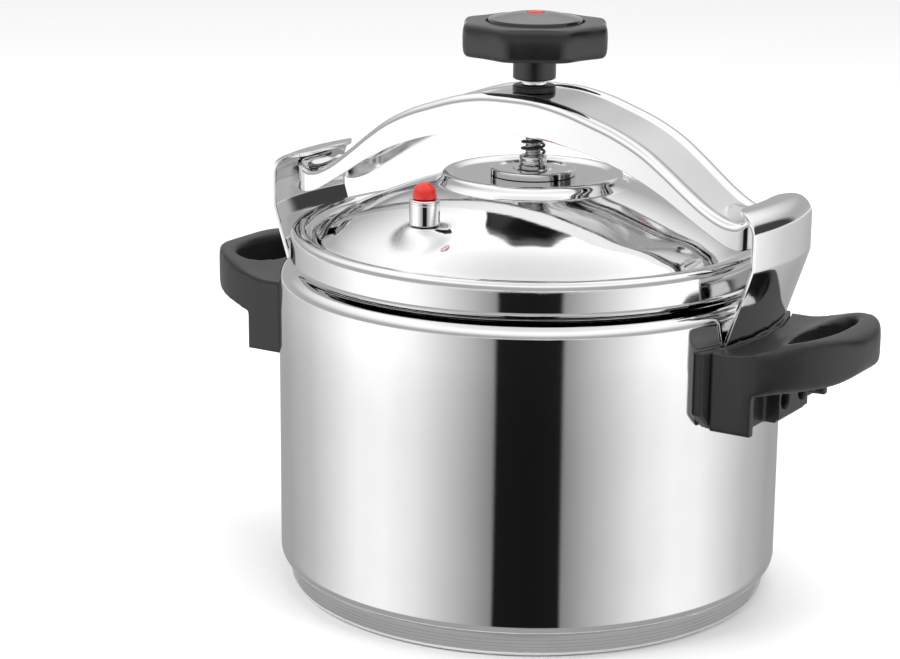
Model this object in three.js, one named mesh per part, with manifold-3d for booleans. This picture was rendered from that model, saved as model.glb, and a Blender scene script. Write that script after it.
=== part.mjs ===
// Clamp-lid pressure canner: a drawn steel pot, a domed lid held down by a sprung bow
// whose ends sit under two hooks, and a screw knob that pushes bow and lid apart.
// Millimetres, +Z up, origin at the centre of the base, handles along X.
import * as THREE from 'three';
import { mergeVertices } from 'three/addons/utils/BufferGeometryUtils.js';
import Module from 'manifold-3d';

const wasm = await Module();
wasm.setup();

// Driving dimensions.
const clearance = 0.3;
const hookGap = 0.4;
const roundSteps = 40;
const smallSteps = 20;

const bodyRadius = 130;
const rimHeight = 186.4;
const sheet = 1.5;
const baseHeight = 12;
const baseRadius = bodyRadius - 5.4;
const shoulderDrop = 26;
const bandRadius = bodyRadius - 6;
const bandDrop = 14.6;

const plateauRadius = 48.5;
const plateauRise = 28.4;
const centrePlateRadius = 21.8;
const collarRadius = 7.1;
const collarHeight = 9.9;

const spindleRadius = 4;
const bowRise = 72;
const bowReach = bodyRadius + 6;
const bowWidth = 54;
const bowSheet = 2.5;
const flangeDepth = bowRise / 3.6;

const hookWidth = 66;
const hookSheet = 2;
const hookReach = 14.6;

const handleWidth = 93;
const handleReach = 60;
const handleDepth = 39;
const handleBottom = rimHeight - 76.4;
const saddleDepth = 4;
const screwSpacing = 20;

const knobFlats = 73;
const knobDepth = 16.6;
const sleeveLength = 12.7;

const ventRadius = bandRadius - 38.8;
const ventAngle = -1.707;
const safetyAngle = 0.7;
const weightRadius = 7.5;
const weightHeight = 12.7;

// Heights that cutting shapes start and end at, clear of every piece.
const cutFloor = -50;
const cutCeiling = rimHeight + 200;

// Materials.
const steel = { color: 0xd9dadb, roughness: 0.12, metalness: 1 };
const satinSteel = { color: 0xc9cacb, roughness: 0.35, metalness: 1 };
const aluminium = { color: 0xb9bbbd, roughness: 0.5, metalness: 1 };
const black = { color: 0x2a2a2b, roughness: 0.5, metalness: 0 };
const rubber = { color: 0x8f9193, roughness: 0.8, metalness: 0 };
const red = { color: 0xc21f17, roughness: 0.4, metalness: 0 };

// A closed three.js geometry as a solid that can be cut and joined.
function solid(geometry) {
  const bare = geometry.clone();
  bare.deleteAttribute('normal');
  bare.deleteAttribute('uv');
  const welded = mergeVertices(bare, 1e-4);
  const corners = welded.index.array;
  const triangles = [];
  for (let i = 0; i < corners.length; i += 3) {
    const [a, b, c] = [corners[i], corners[i + 1], corners[i + 2]];
    if (a !== b && b !== c && c !== a) triangles.push(a, b, c);
  }
  return new wasm.Manifold(new wasm.Mesh({
    numProp: 3,
    vertProperties: new Float32Array(welded.attributes.position.array),
    triVerts: new Uint32Array(triangles),
  }));
}

function geometryOf(body) {
  const mesh = body.getMesh();
  const geometry = new THREE.BufferGeometry();
  geometry.setAttribute('position', new THREE.BufferAttribute(mesh.vertProperties, 3));
  geometry.setIndex(new THREE.BufferAttribute(mesh.triVerts, 1));
  geometry.computeVertexNormals();
  return geometry;
}

function node(name, body, look) {
  const mesh = new THREE.Mesh(geometryOf(body), new THREE.MeshStandardMaterial(look));
  mesh.name = name;
  return mesh;
}

const at = (x, y) => new THREE.Vector2(x, y);
const outline = (pairs) => pairs.map(([x, y]) => at(x, y));

// Points of an arc about (x, y), angles in degrees.
function arc(x, y, radius, from, to, steps) {
  const points = [];
  for (let i = 0; i <= steps; i += 1) {
    const angle = THREE.MathUtils.degToRad(from + (to - from) * i / steps);
    points.push(at(x + radius * Math.cos(angle), y + radius * Math.sin(angle)));
  }
  return points;
}

// A closed sheet outline: the path and its copy moved to the right of its direction.
function thicken(path, thickness) {
  const moved = path.map((point, i) => {
    const before = path[Math.max(i - 1, 0)];
    const after = path[Math.min(i + 1, path.length - 1)];
    const into = point.clone().sub(before).normalize();
    const out = after.clone().sub(point).normalize();
    if (i === 0) into.copy(out);
    if (i === path.length - 1) out.copy(into);
    const along = into.clone().add(out).normalize();
    const stretch = thickness / Math.max(along.dot(out), 0.3);
    return at(point.x + along.y * stretch, point.y - along.x * stretch);
  });
  if (path[0].x === 0) moved[0].x = 0;
  return [...path, ...moved.reverse()];
}

// A profile in radius and height turned about Z.
function revolve(profile, steps = roundSteps) {
  const forward = THREE.ShapeUtils.area(profile) > 0;
  const loop = forward ? [...profile] : [...profile].reverse();
  loop.push(loop[0].clone());
  const geometry = new THREE.LatheGeometry(loop, steps);
  geometry.rotateX(Math.PI / 2);
  return solid(geometry);
}

// An upright outline in x and y, from one height to another.
function prism(points, bottom, top) {
  const shape = points instanceof THREE.Shape ? points : new THREE.Shape(points);
  const geometry = new THREE.ExtrudeGeometry(shape, {
    depth: top - bottom, bevelEnabled: false, curveSegments: 10,
  });
  geometry.translate(0, 0, bottom);
  return solid(geometry);
}

// A side outline in x and z, centred on y = 0.
function slab(points, width) {
  const geometry = new THREE.ExtrudeGeometry(new THREE.Shape(points), {
    depth: width, bevelEnabled: false,
  });
  geometry.rotateX(Math.PI / 2);
  geometry.translate(0, width / 2, 0);
  return solid(geometry);
}

function rod(radius, bottom, top, steps = smallSteps, x = 0, y = 0) {
  const geometry = new THREE.CylinderGeometry(radius, radius, top - bottom, steps);
  geometry.rotateX(Math.PI / 2);
  geometry.translate(x, y, (top + bottom) / 2);
  return solid(geometry);
}

// A round bar along X.
function crossRod(radius, from, to, y, z, steps = smallSteps) {
  const geometry = new THREE.CylinderGeometry(radius, radius, to - from, steps);
  geometry.rotateZ(Math.PI / 2);
  geometry.translate((to + from) / 2, y, z);
  return solid(geometry);
}

function block(x0, x1, y0, y1, z0, z1) {
  const geometry = new THREE.BoxGeometry(x1 - x0, y1 - y0, z1 - z0);
  geometry.translate((x0 + x1) / 2, (y0 + y1) / 2, (z0 + z1) / 2);
  return solid(geometry);
}

// A washer or bush about Z.
function ring(inner, outer, bottom, top, steps = smallSteps) {
  return revolve(outline([[inner, bottom], [outer, bottom], [outer, top], [inner, top]]), steps);
}

function hexNut(bore, corner, bottom, top) {
  return rod(corner, bottom, top, 6).subtract(rod(bore, bottom - 1, top + 1));
}

// Pot: drawn wall with a tight bottom corner, a shoulder, a neck and a flat sealing lip.
const cornerRadius = 6;
const shoulderRadius = 6;
const shoulderTop = rimHeight - shoulderDrop + shoulderRadius;
const neckRadius = bandRadius - 4.5;
const lipRadius = bandRadius - sheet - 0.8;
const lipUnderside = rimHeight - 6.7;
function potShell() {
  const path = [
    at(0, baseHeight),
    ...arc(bodyRadius - cornerRadius, baseHeight + cornerRadius, cornerRadius, -90, 0, 4),
    ...arc(bodyRadius - shoulderRadius, shoulderTop - shoulderRadius, shoulderRadius, 0, 75, 4),
    at(neckRadius + 1.4, shoulderTop + 1.5),
    at(neckRadius, shoulderTop + 3.4),
    at(neckRadius, lipUnderside - 1),
    at(neckRadius + 1, lipUnderside),
    at(lipRadius, lipUnderside),
  ];
  return revolve(thicken(path, -sheet));
}

// Sandwich base: an aluminium disc inside a pressed steel capsule.
const capsuleTop = baseHeight - clearance;
function baseCapsule() {
  const footRadius = 3;
  const path = [
    at(0, 0),
    ...arc(baseRadius - footRadius, footRadius, footRadius, -90, 0, 4),
    at(baseRadius, capsuleTop),
  ];
  return revolve(thicken(path, -1));
}

function baseCore() {
  const radius = baseRadius - 1 - clearance - 0.1;
  const bottom = 1 + clearance;
  return revolve(outline([
    [0, bottom], [radius - 2.4, bottom], [radius, bottom + 2.4], [radius, capsuleTop], [0, capsuleTop],
  ]));
}

// Lid: plateau with a ring bead, dome, sealing trough and folded rim band.
const plateauTop = rimHeight + plateauRise;
const ventPlace = [ventRadius * Math.cos(ventAngle), ventRadius * Math.sin(ventAngle)];
const safetyPlace = [ventRadius * Math.cos(safetyAngle), ventRadius * Math.sin(safetyAngle)];
const seatTop = rimHeight + 14.5;
const seatRadius = 8;
function domeHeight(radius) {
  const from = plateauTop - 4;
  const to = rimHeight - 3.2;
  const share = (radius - plateauRadius) / (bandRadius - 16.5 - plateauRadius);
  return from + (to - from) * (0.72 * share + 0.28 * share * share);
}

function lidShell() {
  const trough = rimHeight - 4.8;
  const dome = [];
  for (let i = 0; i <= 6; i += 1) {
    const radius = THREE.MathUtils.lerp(plateauRadius, bandRadius - 16.5, i / 6);
    dome.push(at(radius, domeHeight(radius)));
  }
  const path = [
    at(0, plateauTop - 0.6),
    at(plateauRadius - 8, plateauTop - 0.6),
    at(plateauRadius - 6, plateauTop + 1.1),
    at(plateauRadius - 3, plateauTop + 1.2),
    at(plateauRadius - 1, plateauTop - 1),
    ...dome,
    at(bandRadius - 14, trough),
    at(bandRadius - 11, trough),
    at(bandRadius - 9.3, trough + 1.7),
    at(bandRadius - 8.4, trough + 4),
    at(bandRadius - 6.6, rimHeight),
    at(bandRadius - 2.8, rimHeight),
    at(bandRadius - 0.7, rimHeight - 1.2),
    at(bandRadius, rimHeight - 3.6),
    at(bandRadius, rimHeight - bandDrop),
  ];
  let lid = revolve(thicken(path, sheet));
  const holes = [[ventPlace, 3], [safetyPlace, 5]];
  for (const [[x, y], hole] of holes) {
    lid = lid.add(rod(seatRadius, domeHeight(ventRadius) - 3.6, seatTop, smallSteps, x, y));
    lid = lid.subtract(rod(seatRadius - sheet, rimHeight - 6.4, seatTop - sheet, smallSteps, x, y));
    lid = lid.subtract(rod(hole, rimHeight - 6.4, seatTop + 1, smallSteps, x, y));
  }
  return lid.subtract(rod(spindleRadius + clearance, plateauTop - 14, plateauTop + 1));
}

function gasket() {
  const bottom = lipUnderside + sheet + clearance;
  const outer = bandRadius - sheet - clearance - 0.2;
  const inner = bandRadius - 6.6;
  const crown = rimHeight - sheet - clearance - 0.3;
  return revolve(outline([
    [inner, bottom], [outer, bottom], [outer, bottom + 1.1], [outer - 1.2, crown],
    [inner + 1.5, crown], [inner + 0.2, bottom + 1.1],
  ]));
}

// Centre of the lid: pressed plate, and a cup on a stud that takes the screw's tip.
const plateBottom = plateauTop - 0.6 + clearance;
const collarTop = plateBottom + collarHeight;
const cupFloor = plateBottom + 4.5;
function centrePlate() {
  const thickness = 3.7;
  return revolve(outline([
    [collarRadius + clearance, plateBottom],
    [centrePlateRadius, plateBottom],
    [centrePlateRadius, plateBottom + thickness - 0.8],
    [centrePlateRadius - 0.8, plateBottom + thickness],
    [collarRadius + clearance, plateBottom + thickness],
  ]), 32);
}

function thrustCollar() {
  const stud = plateauTop - 8;
  const groove = plateBottom + 6.6;
  return revolve(outline([
    [0, stud], [spindleRadius, stud], [spindleRadius, plateBottom], [collarRadius, plateBottom],
    [collarRadius, groove - 0.6], [collarRadius - 0.7, groove], [collarRadius, groove + 0.6],
    [collarRadius, collarTop - 0.7], [collarRadius - 0.7, collarTop],
    [spindleRadius + clearance, collarTop], [spindleRadius + clearance, cupFloor], [0, cupFloor],
  ]), smallSteps);
}

function thrustNut() {
  const top = plateauTop - 0.6 - sheet - clearance;
  return hexNut(spindleRadius + clearance, 8.4, top - 4.6, top);
}

// Bow: a pressed inverted channel whose upturned ends sit under the hooks.
const bowTop = rimHeight + bowRise;
const lipTop = rimHeight + bowRise * 0.361;
// Places along the bow are shares of its reach, drops are shares of its rise.
const alongBow = (share, drop) => at(share * bowReach, bowTop - drop * bowRise);
const bowCrown = new THREE.SplineCurve([
  alongBow(0, 0), alongBow(0.110, 0.007), alongBow(0.228, 0.047), alongBow(0.338, 0.111),
  alongBow(0.441, 0.181), alongBow(0.544, 0.278), alongBow(0.632, 0.394), alongBow(0.713, 0.514),
  alongBow(0.794, 0.625), alongBow(0.868, 0.697), alongBow(0.926, 0.714),
  at(bowReach - 5, lipTop - 2), at(bowReach - 2.5, lipTop),
]);
const crownPoints = bowCrown.getPoints(22);
function mirrored(points) {
  const left = points.slice(1).reverse().map((point) => at(-point.x, point.y));
  return [...left, ...points];
}

function bowPlan(inset) {
  const side = bowWidth / 2 - inset;
  const tip = bowReach - inset;
  const waist = 0.441 * bowReach;
  return outline([
    [-tip, 9 - side], [-tip + 7, 5 - side], [-waist, -side], [waist, -side], [tip - 7, 5 - side],
    [tip, 9 - side], [tip, side - 9], [tip - 7, side - 5], [waist, side], [-waist, side],
    [-tip + 7, side - 5], [-tip, side - 9],
  ]);
}

function bow() {
  const hem = new THREE.SplineCurve([
    [0, 0], [0.147, 0.010], [0.331, 0.069], [0.5, 0.175], [0.632, 0.3], [0.728, 0.414],
    [0.824, 0.528], [0.926, 0.625], [1 - 3 / bowReach, 0.611],
  ].map(([share, drop]) => alongBow(share, drop + flangeDepth / bowRise))).getPoints(16);
  const tip = [at(bowReach, lipTop - 2), alongBow(1, 0.583 + flangeDepth / bowRise)];
  const right = [...crownPoints, ...tip, ...hem.slice().reverse()];
  const left = right.slice(1, -1).reverse().map((point) => at(-point.x, point.y));
  const outer = slab([...right, ...left], bowWidth + 10).intersect(prism(bowPlan(0), cutFloor, cutCeiling));
  const roof = mirrored(crownPoints.filter((point) => point.x < bowReach - 11))
    .map((point) => at(point.x, point.y - bowSheet));
  const end = roof[roof.length - 1];
  const under = [at(-end.x - 3, end.y), ...roof, at(end.x + 3, end.y), at(end.x + 3, 0), at(-end.x - 3, 0)];
  const inner = slab(under, bowWidth + 10).intersect(prism(bowPlan(bowSheet), cutFloor, cutCeiling));
  return outer.subtract(inner).subtract(rod(spindleRadius + 2 * clearance, bowTop - flangeDepth, bowTop + 1));
}

const bowNutBottom = bowTop - 18.4;
function bowNut() {
  return ring(spindleRadius + clearance, 10, bowNutBottom, bowTop - bowSheet - 0.6, 24);
}

const washerBottom = bowTop + clearance;
const washerTop = washerBottom + 1.5;
const ferruleTop = washerTop + 2.8;
const knobBottom = ferruleTop + clearance;
const skirtBottom = knobBottom + sleeveLength;
const knobTop = skirtBottom + knobDepth;

// Conical compression spring between the cup and the bow.
function returnSpring() {
  const wire = 0.7;
  const turns = 4;
  const bottom = collarTop + wire + clearance;
  const top = bowNutBottom - wire - clearance;
  class Coil extends THREE.Curve {
    getPoint(t, target = new THREE.Vector3()) {
      const angle = 2 * Math.PI * turns * t;
      const radius = spindleRadius + THREE.MathUtils.lerp(1.9, 1.2, t);
      const height = THREE.MathUtils.lerp(bottom, top, t);
      return target.set(radius * Math.cos(angle), radius * Math.sin(angle), height);
    }
  }
  const section = new THREE.Shape();
  section.absarc(0, 0, wire, 0, 2 * Math.PI);
  return solid(new THREE.ExtrudeGeometry(section, {
    steps: 56, extrudePath: new Coil(), curveSegments: 3, bevelEnabled: false,
  }));
}

// Hook: a curved plate on the pot wall that leans out, rises and curls over the bow's end.
const handleTop = handleBottom + handleDepth;
function hook() {
  const foot = bodyRadius + clearance + hookSheet;
  const reach = bodyRadius + hookReach;
  const curl = 10.5;
  const curlHeight = lipTop + hookGap + hookSheet - curl;
  const path = [
    at(foot, handleBottom + 6),
    at(foot, handleTop + 1),
    at(reach, rimHeight),
    ...arc(reach - curl, curlHeight, curl, 0, 90, 5),
    at(reach - curl - 6, lipTop + hookGap + hookSheet),
  ];
  const plate = revolve(thicken(path, -hookSheet));
  const kept = prism(outline([
    [bodyRadius - 30, -hookWidth / 2], [bodyRadius + 40, -hookWidth / 2],
    [bodyRadius + 40, hookWidth / 2], [bodyRadius - 30, hookWidth / 2],
  ]), cutFloor, cutCeiling);
  let clip = plate.intersect(kept);
  for (const y of [-screwSpacing / 2, screwSpacing / 2]) {
    clip = clip.subtract(crossRod(2.5, bodyRadius - 10, bodyRadius + 10, y, screwHeight));
  }
  return clip;
}

// Saddle: a moulded pad between pot wall and handle, pocketed for the hook's foot.
const screwHeight = handleBottom + 11;
const saddleInner = bodyRadius + clearance;
const saddleOuter = saddleInner + saddleDepth;
function saddle() {
  const half = handleWidth / 2 + 4;
  const front = [
    [-half, handleTop], [-half, handleBottom + 8], [-half + 7, handleBottom], [half - 7, handleBottom],
    [half, handleBottom + 8], [half, handleTop],
  ];
  const face = new THREE.ExtrudeGeometry(new THREE.Shape(outline(front).reverse()), {
    depth: 60, bevelEnabled: false,
  });
  face.rotateX(Math.PI / 2);
  face.rotateZ(Math.PI / 2);
  face.translate(bodyRadius - 30, 0, 0);
  const pad = ring(saddleInner, saddleOuter, handleBottom - 1, handleTop + 1, roundSteps)
    .intersect(solid(face));
  const pocketHalf = hookWidth / 2 + clearance;
  const pocket = ring(saddleInner - 1, saddleInner + hookSheet + clearance, handleBottom + 6 - clearance,
    handleTop + 5, roundSteps).intersect(
    block(bodyRadius - 30, bodyRadius + 40, -pocketHalf, pocketHalf, cutFloor, cutCeiling));
  let piece = pad.subtract(pocket);
  for (const y of [-screwSpacing / 2, screwSpacing / 2]) {
    piece = piece.subtract(crossRod(2.6, bodyRadius - 10, bodyRadius + 20, y, screwHeight));
  }
  return piece;
}

// Loop handle: root block, gusset and finger loop, with a screw block under it.
const rootFace = bodyRadius + 18;
const screwFace = rootFace + 2;
function handle() {
  const tip = bodyRadius + handleReach;
  const half = handleWidth / 2;
  const inner = saddleOuter + clearance;
  const plan = new THREE.Shape();
  const back = bodyRadius - 20;
  plan.moveTo(back, -half);
  plan.lineTo(tip - half, -half);
  plan.absarc(tip - half, 0, half, -Math.PI / 2, Math.PI / 2, false);
  plan.lineTo(back, half);
  const step = handleBottom + 20;
  const crown = new THREE.SplineCurve(outline([
    [tip - 1.5, handleTop + 6.5], [tip - 5, handleTop + 9.6], [tip - 12, handleTop + 10.4],
    [tip - 26, handleTop + 7.6], [tip - 42, handleTop + 2], [bodyRadius + 7, handleTop],
  ])).getPoints(12);
  const side = [
    ...outline([
      [back, handleBottom], [rootFace, handleBottom], [rootFace, step],
      [tip - 9, handleBottom + 25.5], [tip - 3, handleBottom + 29], [tip, handleBottom + 36],
    ]),
    ...crown, at(back, handleTop),
  ];
  const hole = new THREE.Shape();
  hole.absellipse(tip - 26, 0, 12, 30, 0, 2 * Math.PI);
  let piece = prism(plan, handleBottom - 10, handleTop + 20)
    .intersect(slab(side, handleWidth + 20))
    .subtract(rod(inner, cutFloor, cutCeiling, roundSteps))
    .subtract(prism(hole, cutFloor, cutCeiling));
  const blockHalf = screwSpacing / 2 + 7;
  for (const [y0, y1] of [[5 - half, -blockHalf], [blockHalf, half - 5]]) {
    piece = piece.subtract(block(rootFace - 6, tip, y0, y1, handleBottom - 5, step - 1));
  }
  piece = piece.add(block(rootFace - 4, screwFace, -blockHalf, blockHalf, handleBottom + 2, step + 3));
  for (const y of [-screwSpacing / 2, screwSpacing / 2]) {
    piece = piece.subtract(crossRod(4.8, rootFace - 7, tip, y, screwHeight));
    piece = piece.subtract(crossRod(2.6, back, tip, y, screwHeight));
  }
  return piece;
}

function handleScrew(y) {
  const headFace = rootFace - 7 + clearance;
  const shank = crossRod(2.2, bodyRadius + 0.4, headFace + 1, y, screwHeight, 12);
  const head = crossRod(4.4, headFace, headFace + 2.6, y, screwHeight);
  const slot = block(headFace + 1.4, headFace + 4, y - 5, y + 5, screwHeight - 0.6, screwHeight + 0.6);
  return shank.add(head).subtract(slot);
}

// Screw and knob.
function spindle() {
  return revolve(outline([
    [0, cupFloor + clearance], [spindleRadius - 1, cupFloor + clearance],
    [spindleRadius, cupFloor + clearance + 1], [spindleRadius, knobTop - 8.6],
    [spindleRadius - 0.6, knobTop - 8], [0, knobTop - 8],
  ]), smallSteps);
}

const capRadius = knobFlats / 2 - 12.5;
const capBottom = knobTop - 2;
function knobBody() {
  const bevel = 2;
  const apothem = knobFlats / 2 - bevel;
  const corner = apothem / Math.cos(Math.PI / 8);
  const facing = -Math.PI / 3 - Math.PI / 8;
  const shape = new THREE.Shape();
  for (let i = 0; i < 8; i += 1) {
    const from = facing + i * Math.PI / 4;
    const [start, end] = [from + 0.06, from + Math.PI / 4 - 0.06];
    const middle = from + Math.PI / 8;
    if (i === 0) shape.moveTo(corner * Math.cos(start), corner * Math.sin(start));
    else shape.lineTo(corner * Math.cos(start), corner * Math.sin(start));
    shape.quadraticCurveTo((apothem - 2.6) * Math.cos(middle), (apothem - 2.6) * Math.sin(middle),
      corner * Math.cos(end), corner * Math.sin(end));
  }
  const geometry = new THREE.ExtrudeGeometry(shape, {
    depth: knobDepth - 2 * bevel, bevelSize: bevel, bevelThickness: bevel, bevelSegments: 2,
    curveSegments: 4,
  });
  geometry.translate(0, 0, skirtBottom + bevel);
  const sleeve = revolve(outline([
    [0, knobBottom], [10.4, knobBottom], [11, knobBottom + 0.6], [11, skirtBottom + 1], [0, skirtBottom + 1],
  ]), 24);
  const skirtCavity = ring(14, knobFlats / 2 - 6.5, skirtBottom - 1, knobTop - 5, 24);
  return solid(geometry).subtract(skirtCavity).add(sleeve)
    .subtract(rod(spindleRadius + clearance, knobBottom - 1, knobTop - 8 + clearance))
    .subtract(rod(capRadius + clearance, capBottom - clearance, knobTop + 5, 32));
}

function knobCap() {
  const rise = 4.6;
  const top = knobTop + rise;
  return revolve([
    at(0, capBottom), at(capRadius, capBottom), at(capRadius, knobTop + 0.4),
    at(capRadius * 0.93, knobTop + 1.5), at(capRadius * 0.7, knobTop + 3.1),
    at(capRadius * 0.42, knobTop + 4.2), at(4.5, top), at(4.5, top - 1.4), at(0, top - 1.4),
  ], 32);
}

function knobDot() {
  const bottom = knobTop + 4.6 - 1.4 + clearance;
  return revolve(outline([
    [0, bottom], [4.1, bottom], [4.1, bottom + 1.2], [2.6, bottom + 1.7], [0, bottom + 1.9],
  ]), 16);
}

// Pressure valve: a vent pipe through the lid, loaded by a loose weight with a cap.
const flangeTop = seatTop + clearance + 2;
function ventPipe() {
  return revolve(outline([
    [1.2, seatTop - 11.5], [2.7, seatTop - 11.5], [2.7, seatTop + clearance], [6, seatTop + clearance],
    [6, flangeTop], [2.4, flangeTop + 0.6], [2.4, flangeTop + 4.6], [1.2, flangeTop + 5.6],
  ]), smallSteps);
}

function ventFilter() {
  const top = seatTop - 6.4;
  const cup = revolve(outline([
    [3, top], [5.6, top], [5.6, top - 8.6], [0, top - 8.6], [0, top - 7.4], [4.4, top - 7.4],
    [4.4, top - 1.4], [3, top - 1.4],
  ]), smallSteps);
  const across = crossRod(0.9, -10, 10, 0, top - 4.5, 8);
  return cup.subtract(across).subtract(across.rotate([0, 0, 90]));
}

const weightBottom = seatTop + 2 * clearance;
const weightTop = weightBottom + weightHeight;
function valveWeight() {
  const body = revolve(outline([
    [0, weightBottom + 9], [2.8, weightBottom + 8.4], [2.8, weightBottom + 3.4], [6.4, weightBottom + 2.6],
    [6.4, weightBottom], [weightRadius, weightBottom], [weightRadius, weightTop - 1],
    [weightRadius - 1, weightTop], [0, weightTop],
  ]), 24);
  const jet = crossRod(0.8, 0, 12, 0, weightBottom + 5, 8);
  return body.subtract(jet.rotate([0, 0, -35]));
}

function valveCap() {
  const bottom = weightTop + clearance;
  return revolve([
    at(0, bottom), at(5.9, bottom), at(5.9, bottom + 2.6),
    ...arc(0, bottom + 2.6, 5.9, 20, 90, 5),
  ], smallSteps);
}

// Over-pressure valve on the far side of the lid, with a pin that rises under pressure.
function safetyBody() {
  return revolve(outline([
    [2.8, seatTop - 7], [4.7, seatTop - 7], [4.7, seatTop + clearance], [7, seatTop + clearance],
    [7, seatTop + 5.6], [5.8, seatTop + 6.8], [2.8, seatTop + 6.8],
  ]), smallSteps);
}

function safetyPin() {
  return revolve(outline([
    [0, seatTop - 11.9], [4.2, seatTop - 11.9], [4.2, seatTop - 10.5], [2.4, seatTop - 10.5],
    [2.4, seatTop + 7.6], [1.8, seatTop + 8.2], [0, seatTop + 8.2],
  ]), smallSteps);
}

const group = new THREE.Group();

group.add(
  node('pot_shell', potShell(), steel),
  node('base_capsule', baseCapsule(), steel),
  node('base_core', baseCore(), aluminium),
  node('lid_shell', lidShell(), steel),
  node('lid_gasket', gasket(), rubber),
  node('lid_centre_plate', centrePlate(), steel),
  node('thrust_collar', thrustCollar(), steel),
  node('thrust_nut', thrustNut(), satinSteel),
  node('return_spring', returnSpring(), black),
  node('bow', bow(), steel),
  node('bow_nut', bowNut(), satinSteel),
  node('bow_washer', ring(spindleRadius + 2 * clearance, 11, washerBottom, washerTop, 24), black),
  node('spindle', spindle(), satinSteel),
  node('spindle_ferrule', ring(spindleRadius + clearance, 6.6, washerTop + clearance, ferruleTop), steel),
  node('knob_body', knobBody(), black),
  node('knob_cap', knobCap(), black),
  node('knob_dot', knobDot(), red),
);

const sides = [['right', 0], ['left', Math.PI]];
for (const [side, turn] of sides) {
  const mounted = new THREE.Group();
  mounted.rotation.z = turn;
  mounted.add(
    node(`hook_${side}`, hook(), steel),
    node(`saddle_${side}`, saddle(), black),
    node(`handle_${side}`, handle(), black),
    node(`handle_screw_${side}_a`, handleScrew(-screwSpacing / 2), satinSteel),
    node(`handle_screw_${side}_b`, handleScrew(screwSpacing / 2), satinSteel),
  );
  group.add(mounted);
}

const vent = new THREE.Group();
vent.position.set(ventPlace[0], ventPlace[1], 0);
vent.add(
  node('vent_pipe', ventPipe(), satinSteel),
  node('vent_nut', hexNut(3, 6.1, seatTop - 5.6, seatTop - sheet - clearance), satinSteel),
  node('vent_filter', ventFilter(), steel),
  node('valve_weight', valveWeight(), steel),
  node('valve_cap', valveCap(), red),
);
group.add(vent);

const safety = new THREE.Group();
safety.position.set(safetyPlace[0], safetyPlace[1], 0);
safety.add(
  node('safety_body', safetyBody(), steel),
  node('safety_nut', hexNut(5, 6.2, seatTop - 5.6, seatTop - sheet - clearance), satinSteel),
  node('safety_pin', safetyPin(), satinSteel),
  node('safety_seal', ring(2.7, 4.2, seatTop - 10.2, seatTop - 9.4), rubber),
);
group.add(safety);

export default group;
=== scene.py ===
import bpy
import math
from mathutils import Matrix, Vector


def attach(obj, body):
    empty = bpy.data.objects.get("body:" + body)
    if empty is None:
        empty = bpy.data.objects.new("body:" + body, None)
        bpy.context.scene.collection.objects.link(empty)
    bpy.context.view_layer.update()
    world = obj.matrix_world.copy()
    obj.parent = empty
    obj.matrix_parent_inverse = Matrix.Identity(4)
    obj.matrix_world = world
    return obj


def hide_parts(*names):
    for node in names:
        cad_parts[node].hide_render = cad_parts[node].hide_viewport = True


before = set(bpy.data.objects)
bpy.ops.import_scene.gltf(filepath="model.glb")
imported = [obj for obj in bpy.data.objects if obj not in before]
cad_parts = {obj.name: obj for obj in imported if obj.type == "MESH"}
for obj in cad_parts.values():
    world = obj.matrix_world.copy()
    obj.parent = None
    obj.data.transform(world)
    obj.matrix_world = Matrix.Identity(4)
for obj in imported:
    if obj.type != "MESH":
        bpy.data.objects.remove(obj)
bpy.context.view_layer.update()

mm = 0.001
roundSteps = 192  # flats round the pot and the lid
weldDistance = 0.000004


# small helpers for adding, joining and finishing pieces

def clearSelection():
    if bpy.context.object and bpy.context.object.mode != "OBJECT":
        bpy.ops.object.mode_set(mode="OBJECT")
    bpy.ops.object.select_all(action="DESELECT")


def makeActive(piece):
    clearSelection()
    piece.select_set(True)
    bpy.context.view_layer.objects.active = piece


def applyModifiers(piece):
    makeActive(piece)
    for name in [modifier.name for modifier in piece.modifiers]:
        bpy.ops.object.modifier_apply(modifier=name)


def settle(piece):  # the piece's place, turn and size go into its mesh
    makeActive(piece)
    bpy.ops.object.transform_apply(location=True, rotation=True, scale=True)


def tidyMesh(piece, recalculate=True):
    makeActive(piece)
    bpy.ops.object.mode_set(mode="EDIT")
    bpy.ops.mesh.select_all(action="SELECT")
    bpy.ops.mesh.remove_doubles(threshold=weldDistance)
    if recalculate:
        bpy.ops.mesh.normals_make_consistent(inside=False)
    bpy.ops.object.mode_set(mode="OBJECT")


def finishPiece(piece, name, body, material, nodes, smooth):
    settle(piece)
    piece.name = name
    piece.data.name = name
    bpy.ops.object.shade_smooth_by_angle(angle=math.radians(smooth))
    piece.data.materials.clear()
    piece.data.materials.append(material)
    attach(piece, body)
    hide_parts(*nodes)


def copyPiece(piece, turn):
    twin = piece.copy()
    twin.data = piece.data.copy()
    bpy.context.scene.collection.objects.link(twin)
    twin.rotation_euler = (0, 0, turn)
    settle(twin)
    return twin


def joinPieces(pieces):
    clearSelection()
    for piece in pieces:
        piece.select_set(True)
    bpy.context.view_layer.objects.active = pieces[0]
    bpy.ops.object.join()
    return pieces[0]


def onArc(x, y, radius, start, end, steps):
    points = []
    for i in range(steps + 1):
        a = math.radians(start + (end - start) * i / steps)
        points.append((x + radius * math.cos(a), y + radius * math.sin(a)))
    return points


def curveThrough(points, steps):  # a smooth run through the points
    out = []
    for i in range(len(points) - 1):
        p0, p1 = points[max(i - 1, 0)], points[i]
        p2, p3 = points[i + 1], points[min(i + 2, len(points) - 1)]
        for k in range(steps):
            t = k / steps
            out.append(tuple(
                0.5 * (2 * b + (c - a) * t + (2 * a - 5 * b + 4 * c - d) * t * t
                       + (3 * b - a - 3 * c + d) * t ** 3)
                for a, b, c, d in zip(p0, p1, p2, p3)))
    out.append(points[-1])
    return out


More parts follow.
